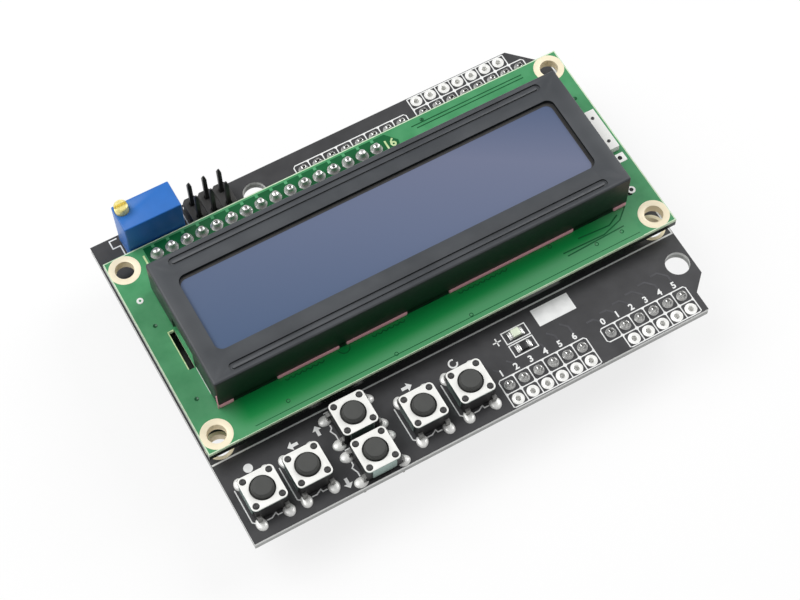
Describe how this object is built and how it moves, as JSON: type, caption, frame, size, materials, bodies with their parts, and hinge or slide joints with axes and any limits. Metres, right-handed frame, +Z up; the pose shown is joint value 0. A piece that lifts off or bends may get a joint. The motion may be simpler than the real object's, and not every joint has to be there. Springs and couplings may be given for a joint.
{
  "type": "lcd keypad shield",
  "caption": "Plug-in circuit board with a two-line character display on its own board, push buttons, a contrast trimmer and pin rows below.",
  "frame": {"origin": "under the middle of the carrier board, level with the tips of the plug pins", "axes": "+X along the display, +Y from the buttons towards the trimmer, +Z up out of the display"},
  "size_m": [0.08, 0.0558, 0.0221],
  "materials": {
    "carrier_resin": "matt dark resist over glass-fibre board, light cut edge",
    "display_resin": "green resist over glass-fibre board, satin",
    "frame_steel": "dark satin enamel on folded sheet steel",
    "clear_glass": "clear",
    "dark_film": "blue-grey polarising film, smooth",
    "white_guide": "milky white",
    "pink_rubber": "matt pink silicone",
    "black_resin": "glossy black potting",
    "black_plastic": "matt black moulding",
    "tinned_pins": "tinned, satin",
    "chip_body": "matt black with tinned ends",
    "lamp_body": "translucent off-white",
    "trimmer_blue": "bright blue moulding, satin",
    "ceramic": "white alumina",
    "screw_brass": "bright brass",
    "key_steel": "bright satin tinned sheet",
    "cap_plastic": "matt dark grey",
    "spring_steel": "bright"
  },
  "bodies": {
    "board": {"carrier_board": "carrier_resin", "display_board": "display_resin", "display_frame": "frame_steel", "backlight_guide": "white_guide", "rear_film": "dark_film", "rear_glass": "clear_glass", "front_glass": "clear_glass", "front_film": "dark_film", "front_contact_rubber": "pink_rubber", "back_contact_rubber": "pink_rubber", "driver_blobs": "black_resin", "power_lamp": "lamp_body", "lamp_resistor": "chip_body", "key_resistors": "chip_body", "backlight_transistor": "chip_body", "trimmer_housing": "trimmer_blue", "trimmer_floor": "ceramic", "trimmer_leads": "tinned_pins", "trimmer_element": "ceramic", "button_legs": "tinned_pins", "power_pin_strip": "black_plastic", "power_pins": "tinned_pins", "analog_pin_strip": "black_plastic", "analog_pins": "tinned_pins", "low_pin_strip": "black_plastic", "low_pins": "tinned_pins", "high_pin_strip": "black_plastic", "high_pins": "tinned_pins", "display_pin_strip": "black_plastic", "display_pins": "tinned_pins", "block_pin_strip": "black_plastic", "block_pins": "tinned_pins", "select_base": "black_plastic", "select_cover": "key_steel", "select_dome": "spring_steel", "left_base": "black_plastic", "left_cover": "key_steel", "left_dome": "spring_steel", "up_base": "black_plastic", "up_cover": "key_steel", "up_dome": "spring_steel", "down_base": "black_plastic", "down_cover": "key_steel", "down_dome": "spring_steel", "right_base": "black_plastic", "right_cover": "key_steel", "right_dome": "spring_steel", "reset_base": "black_plastic", "reset_cover": "key_steel", "reset_dome": "spring_steel"},
    "select_key": {"select_cap": "cap_plastic"},
    "left_key": {"left_cap": "cap_plastic"},
    "up_key": {"up_cap": "cap_plastic"},
    "down_key": {"down_cap": "cap_plastic"},
    "right_key": {"right_cap": "cap_plastic"},
    "reset_key": {"reset_cap": "cap_plastic"},
    "contrast_screw": {"trimmer_screw": "screw_brass"},
    "contrast_carriage": {"trimmer_wiper": "black_plastic"}
  },
  "joints": [
    {"name": "select_press", "type": "slide", "parent": "board", "child": "select_key", "axis": [0, 0, -1], "range_m": [0, 0.00025], "stiffness_N_per_m": 4000, "deforming": ["select_dome"]},
    {"name": "left_press", "type": "slide", "parent": "board", "child": "left_key", "axis": [0, 0, -1], "range_m": [0, 0.00025], "stiffness_N_per_m": 4000, "deforming": ["left_dome"]},
    {"name": "up_press", "type": "slide", "parent": "board", "child": "up_key", "axis": [0, 0, -1], "range_m": [0, 0.00025], "stiffness_N_per_m": 4000, "deforming": ["up_dome"]},
    {"name": "down_press", "type": "slide", "parent": "board", "child": "down_key", "axis": [0, 0, -1], "range_m": [0, 0.00025], "stiffness_N_per_m": 4000, "deforming": ["down_dome"]},
    {"name": "right_press", "type": "slide", "parent": "board", "child": "right_key", "axis": [0, 0, -1], "range_m": [0, 0.00025], "stiffness_N_per_m": 4000, "deforming": ["right_dome"]},
    {"name": "reset_press", "type": "slide", "parent": "board", "child": "reset_key", "axis": [0, 0, -1], "range_m": [0, 0.00025], "stiffness_N_per_m": 4000, "deforming": ["reset_dome"]},
    {"name": "contrast_turn", "type": "hinge", "parent": "board", "child": "contrast_screw", "pos_m": [-0.03413, 0.02571, 0.02017], "axis": [0, 0, 1], "range_deg": [-4500, 4500]},
    {"name": "contrast_travel", "type": "slide", "parent": "board", "child": "contrast_carriage", "axis": [0, 0, 1], "range_m": [-0.0025, 0.0025]}
  ],
  "couplings": [
    {"joint": "contrast_turn", "follows": "contrast_travel", "rad_per_m": -31416}
  ]
}
